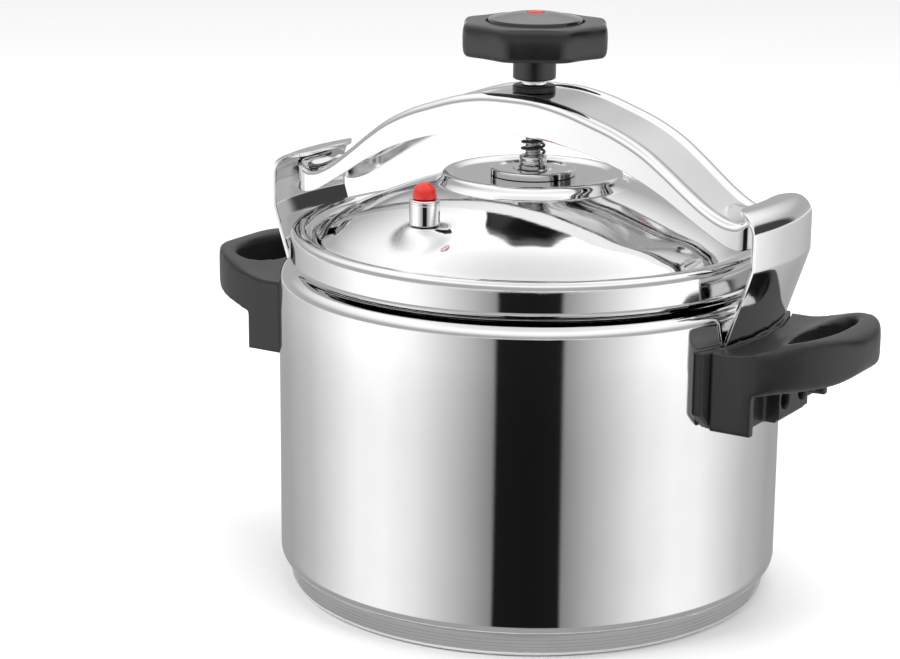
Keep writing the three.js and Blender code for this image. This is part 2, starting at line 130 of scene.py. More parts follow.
def heightAt(points, x):  # straight reading of a dense run
    for (x0, y0), (x1, y1) in zip(points, points[1:]):
        if x <= x1:
            return y0 + (y1 - y0) * (x - x0) / max(x1 - x0, 0.0001)
    return points[-1][1]


def beside(path, distance):  # the path moved to the right of its direction
    out = []
    for i, (x, y) in enumerate(path):
        ax, ay = path[max(i - 1, 0)]
        bx, by = path[min(i + 1, len(path) - 1)]
        size = math.hypot(bx - ax, by - ay) or 1
        out.append((x + (by - ay) / size * distance, y - (bx - ax) / size * distance))
    if path[0][0] == 0:
        out[0] = (0, out[0][1])
    return out


def sheetOutline(path, thickness):
    return path + beside(path, thickness)[::-1]


def selectVertices(piece, indices):
    makeActive(piece)
    bpy.ops.object.mode_set(mode="EDIT")
    bpy.ops.mesh.select_mode(type="VERT")
    bpy.ops.mesh.select_all(action="DESELECT")
    bpy.ops.object.mode_set(mode="OBJECT")
    for i in indices:
        piece.data.vertices[i].select = True
    bpy.ops.object.mode_set(mode="EDIT")


def turnedPiece(profile, steps, place=(0, 0)):  # outline in radius and height, spun about Z
    clearSelection()
    bpy.ops.mesh.primitive_plane_add(size=mm, location=(0, 0, 0))
    piece = bpy.context.object
    bpy.ops.object.mode_set(mode="EDIT")
    bpy.ops.mesh.select_all(action="SELECT")
    bpy.ops.mesh.merge(type="CENTER")
    start = Vector((profile[0][0] * mm, 0, profile[0][1] * mm))
    bpy.ops.transform.translate(value=start)
    last = start
    for r, z in profile[1:]:
        point = Vector((r * mm, 0, z * mm))
        bpy.ops.mesh.extrude_region_move(TRANSFORM_OT_translate={"value": point - last})
        last = point
    bpy.ops.object.mode_set(mode="OBJECT")
    selectVertices(piece, [0, len(piece.data.vertices) - 1])
    bpy.ops.mesh.edge_face_add()
    bpy.ops.mesh.select_all(action="SELECT")
    bpy.ops.mesh.spin(steps=steps, angle=2 * math.pi, center=(0, 0, 0), axis=(0, 0, 1))
    bpy.ops.object.mode_set(mode="OBJECT")
    tidyMesh(piece)
    piece.location = (place[0] * mm, place[1] * mm, 0)
    settle(piece)
    return piece


def gridPiece(countU, countV, placePoint):  # a grid laid over a surface in u and v, -1 to 1
    clearSelection()
    bpy.ops.mesh.primitive_grid_add(x_subdivisions=countU, y_subdivisions=countV, size=2, location=(0, 0, 0))
    piece = bpy.context.object
    for vertex in piece.data.vertices:
        x, y, z = placePoint(vertex.co.x, vertex.co.y)
        vertex.co = (x * mm, y * mm, z * mm)
    return piece


def addThickness(piece, thickness, offset=-1.0):
    modifier = piece.modifiers.new("thickness", "SOLIDIFY")
    modifier.thickness = thickness * mm
    modifier.offset = offset
    modifier.use_even_offset = False
    applyModifiers(piece)


def softenEdges(piece, width, segments, degrees):
    modifier = piece.modifiers.new("softEdges", "BEVEL")
    modifier.width = width * mm
    modifier.segments = segments
    modifier.limit_method = "ANGLE"
    modifier.angle_limit = math.radians(degrees)
    modifier.harden_normals = False
    applyModifiers(piece)


# materials

def newMaterial(name):
    material = bpy.data.materials.new(name)
    material.use_nodes = True
    tree = material.node_tree
    return material, tree, tree.nodes["Principled BSDF"]


def objectNoise(tree, scale, roughness, detail=4.0, stretch=(1, 1, 1)):
    coords = tree.nodes.new("ShaderNodeTexCoord")
    mapping = tree.nodes.new("ShaderNodeMapping")
    mapping.inputs["Scale"].default_value = stretch
    noise = tree.nodes.new("ShaderNodeTexNoise")
    noise.inputs["Scale"].default_value = scale
    noise.inputs["Detail"].default_value = detail
    noise.inputs["Roughness"].default_value = roughness
    tree.links.new(coords.outputs["Object"], mapping.inputs["Vector"])
    tree.links.new(mapping.outputs["Vector"], noise.inputs["Vector"])
    return noise


def mapRange(tree, source, fromRange, toRange, smooth=False):
    node = tree.nodes.new("ShaderNodeMapRange")
    if smooth:
        node.interpolation_type = "SMOOTHSTEP"
    node.inputs["From Min"].default_value = fromRange[0]
    node.inputs["From Max"].default_value = fromRange[1]
    node.inputs["To Min"].default_value = toRange[0]
    node.inputs["To Max"].default_value = toRange[1]
    tree.links.new(source, node.inputs["Value"])
    return node.outputs["Result"]


def spread(tree, noise, low, high):  # the middle of the noise's range, stretched from low to high
    return mapRange(tree, noise.outputs["Fac"], (0.3, 0.7), (low, high))


def fillRamp(ramp, levels):  # grey levels by their place on the ramp
    elements = ramp.color_ramp.elements
    while len(elements) < len(levels):
        elements.new(0.5)
    for element, (position, level) in zip(elements, levels):
        element.position = position
        element.color = (level, level, level, 1)


def addBump(tree, shader, source, strength, distance):
    bump = tree.nodes.new("ShaderNodeBump")
    bump.inputs["Strength"].default_value = strength
    bump.inputs["Distance"].default_value = distance
    tree.links.new(source, bump.inputs["Height"])
    tree.links.new(bump.outputs["Normal"], shader.inputs["Normal"])


def tintBetween(tree, shader, source, dark, light):
    mix = tree.nodes.new("ShaderNodeMix")
    mix.data_type = "RGBA"
    mix.inputs["A"].default_value = (*dark, 1)
    mix.inputs["B"].default_value = (*light, 1)
    tree.links.new(source, mix.inputs["Factor"])
    tree.links.new(mix.outputs["Result"], shader.inputs["Base Color"])


def steelFinish(name, light, dark, rough, lines=(1, 1, 60), bump=0.02):
    material, tree, shader = newMaterial(name)
    shader.inputs["Metallic"].default_value = 1.0
    cloud = objectNoise(tree, scale=18, roughness=0.55)
    tintBetween(tree, shader, spread(tree, cloud, 0, 1), dark, light)
    grain = objectNoise(tree, scale=60, roughness=0.6, detail=3.0, stretch=lines)
    tree.links.new(spread(tree, grain, *rough), shader.inputs["Roughness"])
    addBump(tree, shader, grain.outputs["Fac"], strength=bump, distance=0.0004)
    return material


polishedSteel = steelFinish("polishedSteel", (0.87, 0.87, 0.875), (0.82, 0.82, 0.825), (0.035, 0.07))
rimSteel = steelFinish("rimSteel", (0.88, 0.88, 0.885), (0.83, 0.83, 0.835), (0.07, 0.13), (1, 1, 40), 0.05)
satinSteel = steelFinish("satinSteel", (0.74, 0.74, 0.75), (0.66, 0.66, 0.67), (0.2, 0.34), (1, 1, 30), 0.1)
# near-black steel for the handle screws: the darkness is painted shade of the deep screw holes, not the
# screws' own colour
screwSteelPaintedShade = steelFinish("screwSteelPaintedShade", (0.10, 0.10, 0.105), (0.06, 0.06, 0.065), (0.3, 0.45), (1, 1, 30), 0.1)
baseAluminium = steelFinish("baseAluminium", (0.75, 0.75, 0.76), (0.66, 0.66, 0.67), (0.35, 0.5),
                            (1, 1, 8), 0.1)


def mouldedFinish(name, light, dark, rough, bump, coat=0.0):
    material, tree, shader = newMaterial(name)
    cloud = objectNoise(tree, scale=35, roughness=0.6)
    tintBetween(tree, shader, spread(tree, cloud, 0, 1), dark, light)
    pores = objectNoise(tree, scale=900, roughness=0.6, detail=3.0)
    tree.links.new(spread(tree, cloud, *rough), shader.inputs["Roughness"])
    addBump(tree, shader, pores.outputs["Fac"], strength=bump, distance=0.0002)
    shader.inputs["Coat Weight"].default_value = coat
    shader.inputs["Coat Roughness"].default_value = 0.15
    return material


blackPhenolic = mouldedFinish("blackPhenolic", (0.019, 0.019, 0.020), (0.011, 0.011, 0.012), (0.30, 0.40),
                              0.18)
knobPhenolic = mouldedFinish("knobPhenolic", (0.013, 0.013, 0.014), (0.008, 0.008, 0.009), (0.22, 0.30),
                             0.10, 0.2)
capPhenolic = mouldedFinish("capPhenolic", (0.022, 0.022, 0.023), (0.014, 0.014, 0.015), (0.10, 0.16),
                            0.04, 1.0)
redPlastic = mouldedFinish("redPlastic", (0.64, 0.022, 0.016), (0.54, 0.014, 0.010), (0.22, 0.34), 0.08, 0.3)
greySilicone = mouldedFinish("greySilicone", (0.42, 0.43, 0.44), (0.36, 0.37, 0.38), (0.6, 0.75), 0.3)
springBlack = mouldedFinish("springBlack", (0.035, 0.035, 0.036), (0.02, 0.02, 0.021), (0.28, 0.4), 0.1)

for nodeName, material in {
    "base_core": baseAluminium, "lid_gasket": greySilicone, "safety_seal": greySilicone,
    "thrust_nut": satinSteel, "bow_nut": satinSteel, "vent_nut": satinSteel, "safety_nut": satinSteel,
    "vent_pipe": satinSteel, "vent_filter": satinSteel,
}.items():
    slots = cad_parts[nodeName].data.materials
    slots.clear()
    slots.append(material)
print("materials ready")


# pot: drawn wall, neck and lip, over the sandwich base

pot = {"radius": 130, "sheet": 1.5, "corner": 6, "baseTop": 12, "shoulder": 160.4, "shoulderRound": 6,
       "neck": 119.5, "neckFoot": 170.2, "neckTop": 178.2, "lip": 179.7, "lipReach": 121.7}
wallPath = (
    [(0, pot["baseTop"])]
    + onArc(pot["radius"] - pot["corner"], pot["baseTop"] + pot["corner"], pot["corner"], -90, 0, 12)
    + [(pot["radius"], 40), (pot["radius"], 90), (pot["radius"], 140)]
    + onArc(pot["radius"] - pot["shoulderRound"], pot["shoulder"], pot["shoulderRound"], 0, 72, 10)
    + [(122.6, 167.2), (120.6, 168.2), (pot["neck"], pot["neckFoot"]), (pot["neck"], pot["neckTop"]),
       (pot["neck"] + 0.9, pot["lip"]), (pot["lipReach"], pot["lip"])])
finishPiece(turnedPiece(sheetOutline(wallPath, -pot["sheet"]), roundSteps),
            "potShell", "pot", polishedSteel, ["pot_shell"], 40)

base = {"radius": 124.6, "foot": 3.2, "top": 11.7, "sheet": 1.0, "innerCorner": 3.4,
        "grooves": (3.9, 5.5, 7.1, 8.9), "grooveDepth": 0.45, "grooveHalf": 0.35, "grooveFloorHalf": 0.15}
basePath = [(0, 0)] + onArc(base["radius"] - base["foot"], base["foot"], base["foot"], -90, 0, 8)
grooved = base["radius"] - base["grooveDepth"]
for z in base["grooves"]:
    basePath += [(base["radius"], z - base["grooveHalf"]), (grooved, z - base["grooveFloorHalf"]),
                 (grooved, z + base["grooveFloorHalf"]), (base["radius"], z + base["grooveHalf"])]
basePath += [(base["radius"], base["top"] - 0.5), (base["radius"] - 0.4, base["top"])]
inner = base["radius"] - base["sheet"]
basePath += [(inner, base["top"]), (inner, base["innerCorner"]),
             (base["radius"] - base["foot"], base["sheet"]), (0, base["sheet"])]
finishPiece(turnedPiece(basePath, roundSteps), "baseCapsule", "pot", rimSteel,
            ["base_capsule"], 30)
print("pot ready")


# lid: plateau with ring bead, dome, trough and rim band, with two flat valve seats

lid = {"sheet": 1.5, "middle": 214.2, "bandRadius": 124, "bandBottom": 171.8, "domeFoot": 175,
       "valveReach": 85.2, "ventTurn": -1.707, "safetyTurn": 0.7,
       "seatTop": 200.9, "pressedOut": 17.0, "pressedFlat": 7.6}


def valvePlace(angle):
    return lid["valveReach"] * math.cos(angle), lid["valveReach"] * math.sin(angle)


ventPlace = valvePlace(lid["ventTurn"])
safetyPlace = valvePlace(lid["safetyTurn"])
beadPath = curveThrough([(39.8, 214.3), (41.6, 215.6), (43.8, 216.0), (46.0, 215.2), (47.4, 212.6),
                         (49.4, 210.4)], 5)
domePath = curveThrough([(49.4, 210.4), (60, 207.2), (72, 202.9), (84, 198.0), (95, 192.9), (104, 187.2),
                         (108.4, 183.4)], 6)
rimPath = curveThrough([(109.6, 182.2), (111.4, 181.6), (113.2, 182.0), (114.6, 183.6), (115.4, 185.0),
                        (117.0, 186.2), (119.2, 186.4), (121.6, 186.2), (123.4, 185.0),
                        (lid["bandRadius"], 182.8)], 4)
lidPath = ([(0, lid["middle"]), (38.6, lid["middle"])] + beadPath[:-1] + domePath + rimPath
           + [(lid["bandRadius"], 178), (lid["bandRadius"], lid["bandBottom"] + 0.3)])
lidShell = turnedPiece(sheetOutline(lidPath, lid["sheet"]), roundSteps)
for vertex in lidShell.data.vertices:  # the dome is pressed flat round each valve
    x, y = vertex.co.x / mm, vertex.co.y / mm
    for px, py in (ventPlace, safetyPlace):
        away = math.hypot(x - px, y - py)
        if away < lid["pressedOut"] and vertex.co.z > lid["domeFoot"] * mm:
            k = min(max((lid["pressedOut"] - away) / (lid["pressedOut"] - lid["pressedFlat"]), 0), 1)
            lift = lid["seatTop"] - heightAt(domePath, math.hypot(x, y))
            vertex.co.z += lift * k * k * (3 - 2 * k) * mm
finishPiece(lidShell, "lidShell", "lid", polishedSteel, ["lid_shell"], 40)

plate = {"bore": 7.4, "radius": 21.8, "bottom": 214.5, "round": 1.2, "dish": 217.4, "dishEdge": 218.0}
platePath = (
    [(plate["bore"], plate["bottom"]), (plate["radius"], plate["bottom"]), (plate["radius"], 216.6)]
    + onArc(plate["radius"] - plate["round"], 216.8, plate["round"], 0, 90, 5)
    + [(18.4, 218.1), (17.6, plate["dish"]), (10.6, plate["dish"]), (9.8, plate["dishEdge"]),
       (plate["bore"], plate["dishEdge"])])
finishPiece(turnedPiece(platePath, 96), "lidCentrePlate", "lid", rimSteel,
            ["lid_centre_plate"], 30)

collar = {"stem": 4, "radius": 7.1, "bottom": 206.8, "seat": 214.5, "cup": 4.3, "cupFloor": 219.0}
collarPath = (
    [(0, collar["bottom"]), (collar["stem"], collar["bottom"]), (collar["stem"], collar["seat"]),
     (collar["radius"], collar["seat"]), (collar["radius"], 219.6)]
    + onArc(6.2, 220.9, 0.9, -60, 60, 5)
    + onArc(6.0, 223.1, 1.1, -40, 90, 6)
    + [(collar["cup"], 224.4), (collar["cup"], collar["cupFloor"]), (0, collar["cupFloor"])])
finishPiece(turnedPiece(collarPath, 64), "thrustCollar", "lid", polishedSteel,
            ["thrust_collar"], 35)
print("lid ready")


# return spring: a round wire screwed up a narrowing cone

spring = {"wire": 0.72, "wireSides": 12, "bottomRadius": 5.8, "topRadius": 5.1, "bottom": 225.5,
          "top": 239.0, "turns": 4, "steps": 160}
clearSelection()
bpy.ops.mesh.primitive_circle_add(vertices=spring["wireSides"], radius=spring["wire"] * mm,
                                  fill_type="NOTHING", rotation=(math.pi / 2, 0, 0),
                                  location=(spring["bottomRadius"] * mm, 0, spring["bottom"] * mm))
coil = bpy.context.object
settle(coil)
screw = coil.modifiers.new("coil", "SCREW")
screw.axis = "Z"
screw.angle = 2 * math.pi * spring["turns"]
screw.screw_offset = (spring["top"] - spring["bottom"]) * mm
screw.steps = spring["steps"]
screw.render_steps = spring["steps"]
screw.use_merge_vertices = False
applyModifiers(coil)
for vertex in coil.data.vertices:
    share = (vertex.co.z / mm - spring["bottom"]) / (spring["top"] - spring["bottom"])
    r = math.hypot(vertex.co.x, vertex.co.y)
    narrowed = r + (spring["topRadius"] - spring["bottomRadius"]) * mm * min(max(share, 0), 1)
    vertex.co.x *= narrowed / r
    vertex.co.y *= narrowed / r
makeActive(coil)
bpy.ops.object.mode_set(mode="EDIT")
bpy.ops.mesh.select_all(action="DESELECT")
bpy.ops.mesh.select_non_manifold(extend=False)
bpy.ops.mesh.fill()
bpy.ops.object.mode_set(mode="OBJECT")
tidyMesh(coil)
finishPiece(coil, "returnSpring", "lid", springBlack, ["return_spring"], 50)

# spindle with the thread drawn as rings, and the ferrule and washer round it

spindle = {"radius": 4.0, "root": 3.5, "bottom": 219.3, "top": 284.6, "ringStep": 1.25, "ringsTop": 262}
spindlePath = [(0, spindle["bottom"]), (3.0, spindle["bottom"]), (3.7, spindle["bottom"] + 0.8)]
z = spindle["bottom"] + 4
while z < spindle["ringsTop"]:
    spindlePath += [(spindle["root"], z), (spindle["radius"], z + 0.5), (spindle["radius"], z + 0.8),
                    (spindle["root"], z + spindle["ringStep"])]
    z += spindle["ringStep"]
spindlePath += [(spindle["radius"], 264), (spindle["radius"], spindle["top"] - 0.6), (3.4, spindle["top"]),
                (0, spindle["top"])]
finishPiece(turnedPiece(spindlePath, 40), "spindleRod", "screw", satinSteel, ["spindle"], 30)

ferrule = {"bore": 4.3, "radius": 6.6, "bottom": 260.5, "top": 263.0, "round": 0.6, "chamfer": 0.4}
ferrulePath = (
    [(ferrule["bore"], ferrule["bottom"]), (ferrule["radius"] - ferrule["chamfer"], ferrule["bottom"]),
     (ferrule["radius"], ferrule["bottom"] + ferrule["chamfer"])]
    + onArc(ferrule["radius"] - ferrule["round"], ferrule["top"] - ferrule["round"], ferrule["round"],
            0, 90, 4)
    + [(ferrule["bore"], ferrule["top"])])
finishPiece(turnedPiece(ferrulePath, 48), "spindleFerrule", "screw", polishedSteel,
            ["spindle_ferrule"], 30)

washer = {"bore": 4.6, "radius": 11.0, "bottom": 257.3, "top": 260.2, "round": 0.7}
washerPath = (
    [(washer["bore"], washer["bottom"]), (washer["radius"], washer["bottom"]),
     (washer["radius"], washer["top"] - washer["round"])]
    + onArc(washer["radius"] - washer["round"], washer["top"] - washer["round"], washer["round"], 0, 90, 4)
    + [(washer["bore"], washer["top"])])
finishPiece(turnedPiece(washerPath, 64), "bowWasher", "bow", blackPhenolic,
            ["bow_washer"], 30)
print("screw ready")


# bow: pressed channel with raised edges and an upturned lip at each end

bow = {"reach": 136.0, "sheet": 2.4, "edge": 4.0, "sunk": 1.5, "corner": 9.0, "spineShort": 26,
       "beadFoot": 10.5, "beadTop": 5.0, "flatFrom": 112, "flatOver": 10, "rows": 56}
crownLine = curveThrough([(0, 258.4), (15, 257.9), (31, 255.0), (46, 250.4), (60, 245.4), (74, 238.4),
                          (86, 230.0), (97, 221.4), (108, 213.4), (118, 208.2), (126, 207.0), (131, 210.0),
                          (134.6, 212.2), (136, 212.2)], 8)
hemLine = curveThrough([(0, 238.4), (20, 237.7), (45, 233.4), (68, 225.8), (86, 216.8), (99, 208.6),
                        (112, 200.4), (120, 196.0), (128, 194.2), (136, 196.4)], 8)
widthLine = curveThrough([(0, 27.0), (30, 26.9), (60, 26.0), (90, 24.6), (118, 23.2), (130, 22.0),
                          (136, 20.4)], 6)


def bowPlan(count):  # a quarter of the outline seen from above, evenly spaced, from the middle of the side
    cornerStart = bow["reach"] - bow["corner"]
    side = [(x, heightAt(widthLine, x)) for x in range(0, int(cornerStart), 3)]
    cornerMiddle = heightAt(widthLine, cornerStart) - bow["corner"]
    quarter = (side + onArc(cornerStart, cornerMiddle, bow["corner"], 90, 0, 10)
               + [(bow["reach"], cornerMiddle - 4), (bow["reach"], 0)])
    run = [0.0]
    for (x0, y0), (x1, y1) in zip(quarter, quarter[1:]):
        run.append(run[-1] + math.hypot(x1 - x0, y1 - y0))
    alongX = [(s, x) for s, (x, y) in zip(run, quarter)]
    alongY = [(s, y) for s, (x, y) in zip(run, quarter)]
    stops = [run[-1] * i / count for i in range(count + 1)]
    return [(heightAt(alongX, s), heightAt(alongY, s)) for s in stops]


quarterSteps = 90
quarterPlan = bowPlan(quarterSteps)


def bowPoint(u, v):  # u goes round the outline, v from the spine out and down to the hem
    step = round((u + 1) * 2 * quarterSteps)
    part, i = divmod(step, quarterSteps)
    part %= 4
    if part in (1, 3):
        i = quarterSteps - i
    px, py = quarterPlan[i]
    sideX = 1 if part in (0, 1) else -1
    sideY = 1 if part in (0, 3) else -1
    t = (v + 1) / 2
    edge, sunk = bow["edge"], bow["sunk"]
    foot, top = bow["beadFoot"], bow["beadTop"]
    spineX = min(px, bow["reach"] - bow["spineShort"])
    dx, dy = px - spineX, py
    size = math.hypot(dx, dy)
    nx, ny = dx / size, dy / size
    panel, bead, turnOver = 0.34, 0.50, 0.72
    flat = max(0.0, min(1.0, (px - bow["flatFrom"]) / bow["flatOver"]))
    if t < panel:
        r, drop = (size - foot) * t / panel, sunk
    elif t < bead:
        k = (t - panel) / (bead - panel)
        r, drop = size - foot + (foot - top) * k, sunk * (0.5 + 0.5 * math.cos(math.pi * k))
    elif t < turnOver:
        k = (t - bead) / (turnOver - bead)
        a = k * math.pi / 2
        r = min(size - top + (top - edge) * min(k * 4, 1) + edge * math.sin(a), size)
        drop = edge * (1 - math.cos(a))
    else:
        r, drop = size, edge
    x, y = spineX + nx * r, ny * r
    if t < bead:
        drop *= 1 - 0.5 * flat
    z = heightAt(crownLine, x) - drop
    if t >= turnOver:
        z += (heightAt(hemLine, x) - z) * (t - turnOver) / (1 - turnOver)
    return sideX * x, sideY * y, z


bowShell = gridPiece(4 * quarterSteps, bow["rows"], bowPoint)
tidyMesh(bowShell)
addThickness(bowShell, bow["sheet"])
softenEdges(bowShell, 0.5, 2, 60)
finishPiece(bowShell, "bowShell", "bow", polishedSteel, ["bow"], 45)
print("bow ready")


# hooks: curved plates that lean out, rise and curl over the bow's ends

hook = {"half": 33.0, "sheet": 2.0, "foot": 132.3, "reach": 144.6, "curl": 10.5, "curlHeight": 204.3,
        "corner": 19.0, "rows": 110, "columns": 40}
hookPath = (
    [(hook["foot"], 116), (hook["foot"], 128), (hook["foot"], 146)]
    + curveThrough([(hook["foot"] + 0.1, 149.0), (133.4, 153.0), (143.4, 183.2), (hook["reach"], 188.4)], 6)
    + onArc(hook["reach"] - hook["curl"], hook["curlHeight"], hook["curl"], 0, 90, 18)
    + [(131.2, 214.8), (128.1, 214.75)])
hookRun = [0.0]
for (r0, z0), (r1, z1) in zip(hookPath, hookPath[1:]):
    hookRun.append(hookRun[-1] + math.hypot(r1 - r0, z1 - z0))
hookLine = [(s, r) for s, (r, z) in zip(hookRun, hookPath)]
hookRise = [(s, z) for s, (r, z) in zip(hookRun, hookPath)]


def hookPoint(u, v):  # u goes up the plate from its foot, v goes across it
    s = (u + 1) / 2 * hookRun[-1]
    r, z = heightAt(hookLine, s), heightAt(hookRise, s)
    left = hookRun[-1] - s
    half = hook["half"]
    if left < hook["corner"]:
        half -= hook["corner"] - math.sqrt(max(hook["corner"] ** 2 - (hook["corner"] - left) ** 2, 0.0))
    y = v * half
    return math.sqrt(r * r - y * y), y, z


hookPlate = gridPiece(hook["rows"], hook["columns"], hookPoint)
addThickness(hookPlate, hook["sheet"], 1.0)
tidyMesh(hookPlate)
softenEdges(hookPlate, 0.5, 3, 50)
hookTwin = copyPiece(hookPlate, math.pi)
finishPiece(hookPlate, "hookRight", "pot", polishedSteel, ["hook_right"], 40)
finishPiece(hookTwin, "hookLeft", "pot", polishedSteel, ["hook_left"], 40)
print("hooks ready")


# handles and saddles: moulded phenolic, softened all over

handle = {"grain": 1.0, "smoothing": 5, "loopFrom": 150, "loopOver": 10, "loopSmoothing": 60}
saddle = {"grain": 0.7, "smoothing": 3}


def mouldedCopy(nodeName, grain, smoothing, loopFrom=None, loopOver=None, loopSmoothing=0):
    piece = bpy.data.objects.new(nodeName + "Moulded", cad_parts[nodeName].data.copy())
    bpy.context.scene.collection.objects.link(piece)
    tidyMesh(piece, False)
    remesh = piece.modifiers.new("remesh", "REMESH")
    remesh.mode = "VOXEL"
    remesh.voxel_size = grain * mm
    applyModifiers(piece)
    if loopFrom is not None:
        group = piece.vertex_groups.new(name="loop")
        for vertex in piece.data.vertices:
            share = (abs(vertex.co.x) / mm - loopFrom) / loopOver
            group.add([vertex.index], min(max(share, 0.0), 1.0), "REPLACE")
        soften = piece.modifiers.new("soften", "SMOOTH")
        soften.factor = 0.5
        soften.iterations = loopSmoothing
        soften.vertex_group = "loop"
    even = piece.modifiers.new("even", "SMOOTH")
    even.factor = 0.5
    even.iterations = smoothing
    applyModifiers(piece)
    return piece


handleRight = mouldedCopy("handle_right", **handle)
handleLeft = copyPiece(handleRight, math.pi)
finishPiece(handleRight, "handleRight", "pot", blackPhenolic, ["handle_right"], 60)
finishPiece(handleLeft, "handleLeft", "pot", blackPhenolic, ["handle_left"], 60)
saddleRight = mouldedCopy("saddle_right", **saddle)
saddleLeft = copyPiece(saddleRight, math.pi)
finishPiece(saddleRight, "saddleRight", "pot", blackPhenolic, ["saddle_right"], 60)
finishPiece(saddleLeft, "saddleLeft", "pot", blackPhenolic, ["saddle_left"], 60)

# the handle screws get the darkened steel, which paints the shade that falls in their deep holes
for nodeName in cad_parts:
    if nodeName.startswith("handle_screw"):
        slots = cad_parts[nodeName].data.materials
        slots.clear()
        slots.append(screwSteelPaintedShade)
print("handles ready")


# knob: eight-sided hand wheel with hollowed sides, a sleeve, a domed cap and a red dot

knob = {"apothem": 36.5, "facing": -math.pi / 3, "hollow": 0.9, "cornerReach": 1.058, "cornerBlend": 1.8,
        "columns": 160}
knobRings = [(276.6, 0.0, 1), (276.6, 0.70, 1), (276.2, 0.82, 0), (276.0, 0.925, 0), (276.2, 0.955, 0),
             (277.0, 0.976, 0), (278.4, 0.990, 0), (281.0, 0.998, 0), (286.0, 1.0, 0), (289.0, 0.998, 0),
             (290.6, 0.990, 0), (291.7, 0.974, 0), (292.4, 0.950, 0), (292.6, 0.915, 0), (292.6, 0.80, 0.4),
             (292.6, 0.69, 1), (290.9, 0.685, 1), (290.9, 0.0, 1)]


def knobRadius(angle):
    step = math.pi / 4
    off = (angle - knob["facing"] + step / 2) % step - step / 2
    side = knob["apothem"] / math.cos(off) - knob["hollow"] * (1 + math.cos(8 * off)) / 2
    corner = knob["apothem"] * knob["cornerReach"]
    blend = knob["cornerBlend"]
    gap = max(side - corner + blend / 2, 0.0)
    return side - gap * gap / (2 * blend) if gap < blend else corner


def knobPoint(u, v):  # u goes round the knob, v goes from ring to ring
    a = math.pi * u + knob["facing"]
    z, size, roundness = knobRings[round((v + 1) / 2 * (len(knobRings) - 1))]
    r = knobRadius(a) * (1 - roundness) * size + knob["apothem"] * roundness * size
    return r * math.cos(a), r * math.sin(a), z


knobBody = gridPiece(knob["columns"], len(knobRings) - 1, knobPoint)
tidyMesh(knobBody)
sleevePath = [(0, 263.3), (10.2, 263.3), (10.9, 263.9), (10.9, 270.0), (11.2, 274.6), (13.6, 276.4),
              (13.6, 278), (0, 278)]
knobBody = joinPieces([knobBody, turnedPiece(sleevePath, 64)])
finishPiece(knobBody, "knobWheel", "screw", knobPhenolic, ["knob_body"], 32)

cap = {"radius": 23.9, "bottom": 290.8, "wallTop": 293.2, "crown": 297.1, "recess": 4.5, "recessFloor": 295.9}
capPath = ([(0, cap["bottom"]), (cap["radius"], cap["bottom"]), (cap["radius"], cap["wallTop"])]
           + curveThrough([(23.6, 293.9), (22.0, 294.3), (17.0, 295.5), (10.5, 296.7),
                           (5.6, cap["crown"])], 5)
           + [(4.7, cap["crown"]), (cap["recess"], 296.6), (cap["recess"], cap["recessFloor"]),
              (0, cap["recessFloor"])])
finishPiece(turnedPiece(capPath, 96), "knobCap", "screw", capPhenolic, ["knob_cap"], 30)

dot = {"radius": 4.1, "bottom": 296.1, "top": 297.9}
dotPath = [(0, dot["bottom"]), (dot["radius"], dot["bottom"]), (dot["radius"], 297.0), (3.6, 297.5),
           (2.0, 297.8), (0, dot["top"])]
finishPiece(turnedPiece(dotPath, 40), "knobDot", "screw", redPlastic, ["knob_dot"], 50)
print("knob ready")


# valves on the lid

weight = {"bore": 2.8, "boreTop": 209.9, "skirt": 6.4, "bottom": 201.5, "radius": 7.5, "waist": 7.2,
          "round": 0.8, "top": 214.2}
weightPath = (
    [(0, 210.5), (weight["bore"], weight["boreTop"]), (weight["bore"], 204.9), (weight["skirt"], 204.1),
     (weight["skirt"], weight["bottom"]), (7.0, weight["bottom"]), (weight["radius"], 202.0),
     (weight["radius"], 211.6), (weight["waist"], 211.9), (weight["waist"], 212.3), (weight["radius"], 212.6),
     (weight["radius"], weight["top"] - weight["round"])]
    + onArc(weight["radius"] - weight["round"], weight["top"] - weight["round"], weight["round"], 0, 90, 4)
    + [(0, weight["top"])])
finishPiece(turnedPiece(weightPath, 64, ventPlace), "valveWeight", "weight", polishedSteel,
            ["valve_weight"], 35)

redCap = {"radius": 5.8, "lip": 5.9, "bottom": 214.5, "wallTop": 216.9}
redCapPath = (
    [(0, redCap["bottom"]), (5.6, redCap["bottom"]), (redCap["lip"], 214.8), (redCap["lip"], 216.6)]
    + onArc(0, redCap["wallTop"], redCap["radius"], 12, 88, 12)
    + [(0, redCap["wallTop"] + redCap["radius"])])
finishPiece(turnedPiece(redCapPath, 48, ventPlace), "valveCap", "weight", redPlastic,
            ["valve_cap"], 40)

safety = {"bore": 2.8, "neck": 4.7, "radius": 7.0, "bottom": 193.9, "shoulder": 201.2, "top": 207.7}
safetyPath = [(safety["bore"], safety["bottom"]), (safety["neck"], safety["bottom"]),
              (safety["neck"], safety["shoulder"]), (safety["radius"], safety["shoulder"]),
              (safety["radius"], 206.1), (6.6, 206.9), (5.4, safety["top"]), (safety["bore"], safety["top"])]
finishPiece(turnedPiece(safetyPath, 48, safetyPlace), "safetyBody", "lid", polishedSteel,
            ["safety_body"], 25)

pin = {"radius": 2.4, "foot": 4.2, "bottom": 189.0, "footTop": 190.4, "top": 209.1}
pinPath = [(0, pin["bottom"]), (pin["foot"], pin["bottom"]), (pin["foot"], pin["footTop"]),
           (pin["radius"], pin["footTop"]), (pin["radius"], 208.3), (2.1, 208.8), (1.5, pin["top"]),
           (0, pin["top"])]
finishPiece(turnedPiece(pinPath, 32, safetyPlace), "safetyPin", "safety_plunger", satinSteel,
            ["safety_pin"], 30)
print("valves ready")


# floor, light and camera

